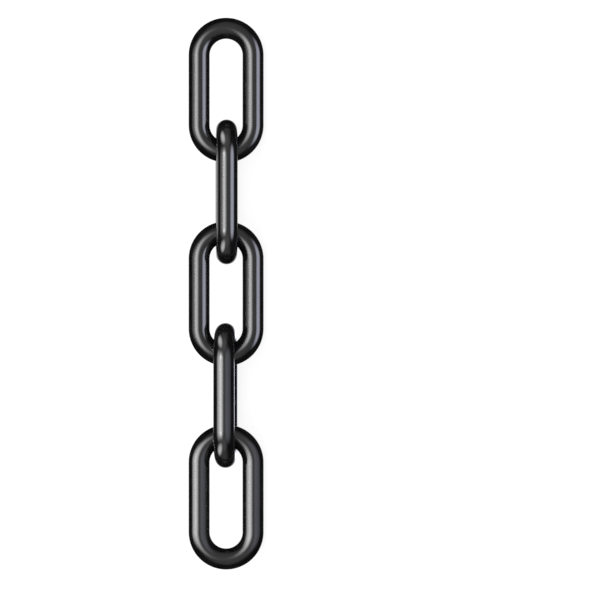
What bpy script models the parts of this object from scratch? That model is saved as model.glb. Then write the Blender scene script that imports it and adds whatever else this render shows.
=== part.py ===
"""Length of round-bar iron link chain, laid straight on a level floor.

Five equal welded links. Each is one closed round bar with two straight legs and
two half-round crowns, and each crown passes through the eye of the next link.
The chain lies pulled straight along X. Neighbouring links stand at right angles
to one another, so they lean to either side at about 45 degrees, and every link
rests on one of its legs. link_1 is at the +X end.

A link is drawn flat in its own frame: X along the link, Y across its width and
Z square to it. Each link below the first swings about the crown bar of the link
before it, so its object hangs from an empty that stands on that bar's middle
with its Y axis along the bar.
"""

import math

import bpy
from mathutils import Matrix, Vector

# Driving dimensions, in metres
BAR_DIAMETER = 0.010
LINK_OUTER_WIDTH = 0.0355
LINK_INNER_LENGTH = 0.0485
CROWN_CLEARANCE = 0.0003

# How each link lies, from link_1 on: its lean, and how far it is turned from square
LEAN = math.radians(45.0)
LINK_TURN = tuple(math.radians(angle) for angle in (0.0, 2.0, 0.0, -2.5, 0.0))

# Fineness of the mesh
BEVEL_RESOLUTION = 8
BAR_SIDES = 2 * BEVEL_RESOLUTION + 4
CROWN_STEPS = 16

# Worked out from the above
CROWN_RADIUS = (LINK_OUTER_WIDTH - BAR_DIAMETER) / 2
LINK_OUTER_LENGTH = LINK_INNER_LENGTH + 2 * BAR_DIAMETER
LEG_LENGTH = LINK_OUTER_LENGTH - LINK_OUTER_WIDTH
CROWN_BAR_X = LINK_OUTER_LENGTH / 2 - BAR_DIAMETER / 2
# The bar's flats touch its true round section, so its corners stand just outside it
CORNER_RADIUS = BAR_DIAMETER / 2 / math.cos(math.pi / BAR_SIDES)
LINK_SPACING = 2 * CROWN_BAR_X - 2 * CORNER_RADIUS - CROWN_CLEARANCE
LINK_COUNT = len(LINK_TURN)

# Black iron: linear colour, metallic value and roughness
IRON_COLOUR = (0.035, 0.035, 0.038, 1.0)
IRON_METALLIC = 0.9
IRON_ROUGHNESS = 0.32


def clear_scene():
    for scene_object in list(bpy.data.objects):
        bpy.data.objects.remove(scene_object, do_unlink=True)


def make_collection(name):
    collection = bpy.data.collections.new(name)
    bpy.context.scene.collection.children.link(collection)
    return collection


def make_iron(name):
    material = bpy.data.materials.new(name)
    material.use_nodes = True
    shader = material.node_tree.nodes["Principled BSDF"]
    shader.inputs["Base Color"].default_value = IRON_COLOUR
    shader.inputs["Metallic"].default_value = IRON_METALLIC
    shader.inputs["Roughness"].default_value = IRON_ROUGHNESS
    return material


def centreline_points():
    """Middle line of one link's bar: a half round at either end, joined by the legs."""
    points = []
    for end in (1, -1):
        for step in range(CROWN_STEPS + 1):
            angle = math.pi * (step / CROWN_STEPS - 0.5)
            x = end * (LEG_LENGTH / 2 + CROWN_RADIUS * math.cos(angle))
            y = end * CROWN_RADIUS * math.sin(angle)
            points.append((x, y, 0.0))
    return points


def make_bar_curve(name):
    """Closed curve bevelled to the round bar, with two bar corners in the link's plane."""
    curve = bpy.data.curves.new(name, "CURVE")
    curve.dimensions = "3D"
    curve.twist_mode = "Z_UP"
    curve.bevel_depth = CORNER_RADIUS
    curve.bevel_resolution = BEVEL_RESOLUTION
    spline = curve.splines.new("POLY")
    points = centreline_points()
    spline.points.add(len(points) - 1)
    for spline_point, point in zip(spline.points, points):
        spline_point.co = (*point, 1.0)
    spline.use_cyclic_u = True
    spline.use_smooth = True
    return curve


def link_lean(index):
    """Lean of a link about X: odd and even links lean to opposite sides."""
    side = 1 if index % 2 == 0 else -1
    return side * LEAN + LINK_TURN[index]


def seat_height(lean):
    """Height of a link's middle when the lowest corner or flat of its leg is at zero."""
    leg_drop = CROWN_RADIUS * math.sin(abs(lean))
    corners = range(BAR_SIDES)
    bar_drop = max(CORNER_RADIUS * math.sin(lean + 2 * math.pi * k / BAR_SIDES) for k in corners)
    return leg_drop + bar_drop


def link_middle(index):
    """World position of a link's middle, with the whole chain centred on the origin."""
    x = (LINK_COUNT - 1) / 2 * LINK_SPACING - index * LINK_SPACING
    return Vector((x, 0.0, seat_height(link_lean(index))))


def make_link(index, bar_curve, collection):
    link = bpy.data.objects.new(f"link_{index + 1}", bar_curve)
    collection.objects.link(link)
    return link


def hang_link(index, link, link_before, collection):
    """Parent a link to an empty on the crown bar that it swings about."""
    lean_before = link_lean(index - 1)
    to_frame_before = Matrix.Rotation(-lean_before, 3, "X")
    crown_bar = Vector((-CROWN_BAR_X, 0.0, 0.0))
    pivot = bpy.data.objects.new(f"crown_bar_{index}", None)
    pivot.empty_display_size = BAR_DIAMETER
    pivot.location = crown_bar
    pivot.parent = link_before
    collection.objects.link(pivot)
    step = link_middle(index) - link_middle(index - 1)
    link.location = to_frame_before @ step - crown_bar
    link.rotation_euler.x = link_lean(index) - lean_before
    link.parent = pivot


def build_chain():
    clear_scene()
    collection = make_collection("iron_link_chain")
    bar_curve = make_bar_curve("link_bar")
    bar_curve.materials.append(make_iron("black_iron"))
    link_before = None
    for index in range(LINK_COUNT):
        link = make_link(index, bar_curve, collection)
        if link_before is None:
            link.location = link_middle(index)
            link.rotation_euler.x = link_lean(index)
        else:
            hang_link(index, link, link_before, collection)
        link_before = link


build_chain()
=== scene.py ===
"""Looks of the iron link chain: smooth black links, a clear floor over white, and soft lamps."""

import math

import bmesh
import bpy
import numpy as np
from mathutils import Matrix, Vector


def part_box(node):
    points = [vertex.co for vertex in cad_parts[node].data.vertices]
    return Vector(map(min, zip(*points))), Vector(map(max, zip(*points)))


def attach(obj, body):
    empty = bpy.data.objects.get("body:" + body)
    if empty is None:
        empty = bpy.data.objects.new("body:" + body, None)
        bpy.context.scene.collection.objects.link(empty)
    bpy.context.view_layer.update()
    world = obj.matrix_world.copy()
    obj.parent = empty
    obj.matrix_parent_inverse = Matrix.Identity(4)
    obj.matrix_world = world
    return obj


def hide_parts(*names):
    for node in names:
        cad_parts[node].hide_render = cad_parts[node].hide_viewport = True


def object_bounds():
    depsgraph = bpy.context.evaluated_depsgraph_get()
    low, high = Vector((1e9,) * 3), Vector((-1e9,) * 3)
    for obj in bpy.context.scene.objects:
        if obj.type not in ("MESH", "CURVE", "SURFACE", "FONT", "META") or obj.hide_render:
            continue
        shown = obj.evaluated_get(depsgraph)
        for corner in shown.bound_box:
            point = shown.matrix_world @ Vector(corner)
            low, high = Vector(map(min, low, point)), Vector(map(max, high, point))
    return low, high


# Driving dimensions of one link, in metres, as in the solids
BAR_RADIUS = 0.005
LINK_OUTER_WIDTH = 0.0355
LINK_OUTER_LENGTH = 0.0685

# Worked out from the above
CROWN_RADIUS = LINK_OUTER_WIDTH / 2 - BAR_RADIUS
HALF_LEG = (LINK_OUTER_LENGTH - LINK_OUTER_WIDTH) / 2

# Fineness of the link's surface: steps round its bar, along each crown and along each leg
SECTION_STEPS = 48
CROWN_STEPS = 48
LEG_STEPS = 24

# The iron's black finish: its darkest and lightest linear colour, and its least and most roughness
IRON_DARK = (0.003, 0.003, 0.0034, 1.0)
IRON_LIGHT = (0.008, 0.008, 0.0086, 1.0)
IRON_GLOSSY = 0.12
IRON_DULL = 0.15

# Noise on the iron: clouds in the tone, grain in the gloss and a ripple in the surface.
# A scale is how often it repeats in a metre, and a detail is how many finer layers it has.
CLOUD_SCALE = 140.0
CLOUD_DETAIL = 4.0
GRAIN_SCALE = 900.0
GRAIN_DETAIL = 2.0
RIPPLE_SCALE = 300.0
RIPPLE_DETAIL = 1.0

# Tone and gloss change between these two values of the noise
NOISE_LOW = 0.3
NOISE_HIGH = 0.7

# Height of the ripple, in metres
RIPPLE_HEIGHT = 0.000003

# Side of the square floor, and the shadow's reach from the chain, in metres
FLOOR_SIDE = 12.0
SHADOW_REACH = 0.03

# Share of the light that is left where the shadow is darkest
SHADOW_LIGHT = 0.8

# Strength of the light from all round
SURROUND_STRENGTH = 1.1

# Colours of the light
WHITE = (1.0, 1.0, 1.0)
PALE_BLUE = (0.9, 0.92, 1.1)

# The lamps stand this far from the chain, in metres, and shine at its middle
LAMP_DISTANCE = 3.0

# Side of the picture, and where the chain's ends and middle line are in it, from its top and left
PICTURE_PIXELS = 600
CHAIN_TOP_PIXEL = 17.6
CHAIN_BOTTOM_PIXEL = 569.7
CHAIN_MIDDLE_PIXEL = 226.1

# The camera's lens and sensor, in millimetres, and how far it sees, in metres
CAMERA_LENS = 300.0
CAMERA_SENSOR = 36.0
CAMERA_REACH = 100.0


def world_matrix(x_axis, y_axis, z_axis, position):
    """Turns a thing to these axes and moves its origin to position."""
    matrix = Matrix((x_axis, y_axis, z_axis)).transposed().to_4x4()
    matrix.translation = position
    return matrix


def link_axes(node):
    """Along, width and normal of a link, found from how its points spread about its middle."""
    points = np.array([vertex.co for vertex in node.data.vertices])
    spread = np.linalg.eigh(np.cov((points - points.mean(axis=0)).T))[1]
    along = Vector(spread[:, 2])
    width = Vector(spread[:, 1])
    along *= math.copysign(1.0, along.x)
    width *= math.copysign(1.0, width.y)
    return along, width, along.cross(width)


def link_frame(name):
    """Turns a flat link, drawn about the origin, to where the named one lies."""
    low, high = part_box(name)
    return world_matrix(*link_axes(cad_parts[name]), (low + high) / 2)


def centreline_stations():
    """Points on the middle line of a link's bar, each with its outward direction."""
    stations = []
    for end in (1, -1):
        for step in range(CROWN_STEPS):
            angle = math.pi * (step / CROWN_STEPS - 0.5)
            outward = Vector((end * math.cos(angle), end * math.sin(angle), 0.0))
            stations.append((Vector((end * HALF_LEG, 0.0, 0.0)) + CROWN_RADIUS * outward, outward))
        for step in range(LEG_STEPS):
            outward = Vector((0.0, end, 0.0))
            x = end * HALF_LEG * (1 - 2 * step / LEG_STEPS)
            stations.append((Vector((x, end * CROWN_RADIUS, 0.0)), outward))
    return stations


def link_mesh(name):
    """A link's whole surface where the link lies, as rings of points round its bar."""
    build = bmesh.new()
    normal = Vector((0.0, 0.0, 1.0))
    rings = []
    for middle_point, outward in centreline_stations():
        ring = []
        for step in range(SECTION_STEPS):
            angle = 2 * math.pi * step / SECTION_STEPS
            offset = BAR_RADIUS * (math.cos(angle) * outward + math.sin(angle) * normal)
            ring.append(build.verts.new(middle_point + offset))
        rings.append(ring)
    for ring, following in zip(rings, rings[1:] + rings[:1]):
        for step in range(SECTION_STEPS):
            after = (step + 1) % SECTION_STEPS
            build.faces.new((ring[step], following[step], following[after], ring[after]))
    bmesh.ops.recalc_face_normals(build, faces=build.faces)
    build.transform(link_frame(name))
    mesh = bpy.data.meshes.new(name)
    build.to_mesh(mesh)
    build.free()
    mesh.shade_smooth()
    return mesh


def black_iron():
    """Smooth black finish, slightly cloudy in tone and gloss, with a faint ripple."""
    material = bpy.data.materials.new("black_iron")
    material.use_nodes = True
    nodes = material.node_tree.nodes
    connect = material.node_tree.links.new
    shader = nodes["Principled BSDF"]
    place = nodes.new("ShaderNodeTexCoord")

    def noise(scale, detail):
        texture = nodes.new("ShaderNodeTexNoise")
        texture.inputs["Scale"].default_value = scale
        texture.inputs["Detail"].default_value = detail
        connect(place.outputs["Object"], texture.inputs["Vector"])
        return texture.outputs["Fac"]

    tone = nodes.new("ShaderNodeValToRGB")
    tone.color_ramp.elements[0].position = NOISE_LOW
    tone.color_ramp.elements[0].color = IRON_DARK
    tone.color_ramp.elements[1].position = NOISE_HIGH
    tone.color_ramp.elements[1].color = IRON_LIGHT
    connect(noise(CLOUD_SCALE, CLOUD_DETAIL), tone.inputs["Fac"])
    connect(tone.outputs["Color"], shader.inputs["Base Color"])

    gloss = nodes.new("ShaderNodeMapRange")
    gloss.inputs["From Min"].default_value = NOISE_LOW
    gloss.inputs["From Max"].default_value = NOISE_HIGH
    gloss.inputs["To Min"].default_value = IRON_GLOSSY
    gloss.inputs["To Max"].default_value = IRON_DULL
    connect(noise(GRAIN_SCALE, GRAIN_DETAIL), gloss.inputs["Value"])
    connect(gloss.outputs["Result"], shader.inputs["Roughness"])

    ripple = nodes.new("ShaderNodeBump")
    ripple.inputs["Distance"].default_value = RIPPLE_HEIGHT
    connect(noise(RIPPLE_SCALE, RIPPLE_DETAIL), ripple.inputs["Height"])
    connect(ripple.outputs["Normal"], shader.inputs["Normal"])
    return material


def add_link(name, material):
    piece = bpy.data.objects.new(name.replace("link", "iron_link"), link_mesh(name))
    bpy.context.scene.collection.objects.link(piece)
    piece.data.materials.append(material)
    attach(piece, name)
    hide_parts(name)
    return piece


def add_floor():
    """Clear floor over the white surround, with a soft shadow close to what lies on it.

    A link that swings below it stays in sight.
    """
    bpy.ops.mesh.primitive_plane_add(size=FLOOR_SIDE)
    floor = bpy.context.object
    floor.name = "floor"
    material = bpy.data.materials.new("pale_floor")
    material.use_nodes = True
    nodes = material.node_tree.nodes
    nodes.clear()
    openness = nodes.new("ShaderNodeAmbientOcclusion")
    openness.inputs["Distance"].default_value = SHADOW_REACH
    light = nodes.new("ShaderNodeMapRange")
    light.inputs["To Min"].default_value = SHADOW_LIGHT
    clear = nodes.new("ShaderNodeBsdfTransparent")
    output = nodes.new("ShaderNodeOutputMaterial")
    connect = material.node_tree.links.new
    connect(openness.outputs["AO"], light.inputs["Value"])
    connect(light.outputs["Result"], clear.inputs["Color"])
    connect(clear.outputs["BSDF"], output.inputs["Surface"])
    floor.data.materials.append(material)
    floor.visible_diffuse = False
    floor.visible_glossy = False
    floor.visible_shadow = False


def add_world():
    """Even white light, which doesn't show in the gloss."""
    world = bpy.data.worlds.new("pale_surround")
    world.use_nodes = True
    background = world.node_tree.nodes["Background"]
    background.inputs["Color"].default_value = (*WHITE, 1.0)
    background.inputs["Strength"].default_value = SURROUND_STRENGTH
    bpy.context.scene.world = world
    world.cycles_visibility.glossy = False


def lamp_direction(left_degrees, up_degrees):
    """Direction this far to the picture's left and top of the line to the camera."""
    left = math.radians(left_degrees)
    up = math.radians(up_degrees)
    level = math.cos(left) * towards_camera + math.sin(left) * picture_left
    return math.cos(up) * level + math.sin(up) * picture_up


def lamp_glow(name, radiance, colour, even_part):
    """Light that is even over the middle of a lamp and fades out to its rim.

    The lamp is clear otherwise, so lamps that overlap add up.
    """
    material = bpy.data.materials.new(name)
    material.use_nodes = True
    nodes = material.node_tree.nodes
    nodes.clear()
    place = nodes.new("ShaderNodeTexCoord")
    radius = nodes.new("ShaderNodeVectorMath")
    radius.operation = "LENGTH"
    fade = nodes.new("ShaderNodeMapRange")
    fade.interpolation_type = "SMOOTHSTEP"
    fade.inputs["From Min"].default_value = 1.0
    fade.inputs["From Max"].default_value = even_part
    fade.inputs["To Max"].default_value = radiance
    glow = nodes.new("ShaderNodeEmission")
    glow.inputs["Color"].default_value = (*colour, 1.0)
    clear = nodes.new("ShaderNodeBsdfTransparent")
    both = nodes.new("ShaderNodeAddShader")
    output = nodes.new("ShaderNodeOutputMaterial")
    connect = material.node_tree.links.new
    connect(place.outputs["Object"], radius.inputs[0])
    connect(radius.outputs["Value"], fade.inputs["Value"])
    connect(fade.outputs["Result"], glow.inputs["Strength"])
    connect(glow.outputs["Emission"], both.inputs[0])
    connect(clear.outputs["BSDF"], both.inputs[1])
    connect(both.outputs["Shader"], output.inputs["Surface"])
    return material


def add_lamp(name, place, half_size, radiance, colour, even_part, lit=()):
    """Oval soft lamp that shows in the gloss of the pieces in lit, or of all where lit is empty.

    place and half_size are degrees round the chain's axis and along it. radiance is how bright its
    middle is, and even_part is how far out it stays so, as a share of the way to the rim.
    """
    back = lamp_direction(*place)
    across = back.cross(picture_up).normalized()
    along = across.cross(back)
    # The rim is 1 from the middle in the lamp's own units
    bpy.ops.mesh.primitive_plane_add(size=2.0)
    lamp = bpy.context.object
    lamp.name = name
    facing_chain = world_matrix(across, along, -back, middle + LAMP_DISTANCE * back)
    half_width, half_height = (LAMP_DISTANCE * math.tan(math.radians(half)) for half in half_size)
    lamp.matrix_world = facing_chain @ Matrix.Diagonal((half_width, half_height, 1.0, 1.0))
    lamp.data.materials.append(lamp_glow(name, radiance, colour, even_part))
    lamp.visible_camera = False
    lamp.visible_diffuse = False
    lamp.visible_shadow = False
    if lit:
        receivers = bpy.data.collections.new(f"{name}_receivers")
        for piece in lit:
            receivers.objects.link(piece)
        lamp.light_linking.receiver_collection = receivers


def add_camera():
    """Distant camera with a long lens, aimed so that the chain is at its pixels in the picture."""
    scale = (CHAIN_BOTTOM_PIXEL - CHAIN_TOP_PIXEL) / chain_length
    picture_width = PICTURE_PIXELS / scale
    distance = CAMERA_LENS / CAMERA_SENSOR * picture_width
    picture_middle = PICTURE_PIXELS / 2
    right = (picture_middle - CHAIN_MIDDLE_PIXEL) / scale
    down = (picture_middle - (CHAIN_TOP_PIXEL + CHAIN_BOTTOM_PIXEL) / 2) / scale
    target = middle - right * picture_left - down * picture_up
    data = bpy.data.cameras.new("camera")
    data.lens = CAMERA_LENS
    data.sensor_width = CAMERA_SENSOR
    data.clip_end = CAMERA_REACH
    camera = bpy.data.objects.new("camera", data)
    bpy.context.scene.collection.objects.link(camera)
    camera.matrix_world = world_matrix(
        -picture_left, picture_up, towards_camera, target + distance * towards_camera
    )
    bpy.context.scene.camera = camera


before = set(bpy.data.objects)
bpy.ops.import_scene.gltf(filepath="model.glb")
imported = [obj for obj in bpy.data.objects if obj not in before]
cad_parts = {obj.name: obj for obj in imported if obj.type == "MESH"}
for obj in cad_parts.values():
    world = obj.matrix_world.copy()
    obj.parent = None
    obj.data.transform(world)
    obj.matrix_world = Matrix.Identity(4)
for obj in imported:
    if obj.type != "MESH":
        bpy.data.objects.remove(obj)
cad_low, cad_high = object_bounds()

# The camera looks down on the chain, square to link_1, with +X up the picture
picture_up, picture_left, towards_camera = link_axes(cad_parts["link_1"])
chain_length = cad_high[0] - cad_low[0]
first_low, first_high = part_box("link_1")
middle = Vector((0.0, 0.0, (first_low.z + first_high.z) / 2))

iron = black_iron()
links = {name: add_link(name, iron) for name in sorted(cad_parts)}
upper_links = [links[name] for name in ("link_1", "link_2", "link_3")]
lower_links = [links[name] for name in ("link_4", "link_5")]
edge_on_links = [links[name] for name in ("link_2", "link_4")]

add_floor()
add_world()
add_camera()
add_lamp("front_lamp", (0, 4), (62, 76), 0.8, WHITE, 0.0)
add_lamp("back_lamp", (180, 0), (45, 30), 0.8, WHITE, 0.1)
add_lamp("key_lamp", (28.5, 0), (29, 34), 8.4, WHITE, 0.1)
add_lamp("key_wing_lamp", (48, 0), (40, 34), 2.8, WHITE, 0.1)
add_lamp("lower_key_lamp", (55, 0), (32, 34), 6.8, WHITE, 0.0, lower_links)
add_lamp("side_lamp", (-58, 0), (27, 38), 7.4, PALE_BLUE, 0.3, upper_links)
add_lamp("dim_side_lamp", (-46, 0), (42, 40), 1.35, PALE_BLUE, 0.3, lower_links)
add_lamp("left_rim_lamp", (135, 0), (35, 12), 1.2, WHITE, 0.3, [links["link_2"]])
add_lamp("right_rim_lamp", (-165, 0), (28, 12), 1.3, PALE_BLUE, 0.3, [links["link_4"]])
for end, up in (("upper", 1), ("lower", -1)):
    add_lamp(f"{end}_flare_lamp", (33, up * 10), (16, 10), 9.0, WHITE, 0.1, edge_on_links)
    add_lamp(f"{end}_cap_lamp", (66, up * 50), (34, 20), 9.0, WHITE, 0.2, edge_on_links)
    add_lamp(f"{end}_end_lamp", (0, up * 70), (40, 55), 0.6, WHITE, 0.1, edge_on_links)
bpy.context.scene.view_settings.view_transform = "Standard"
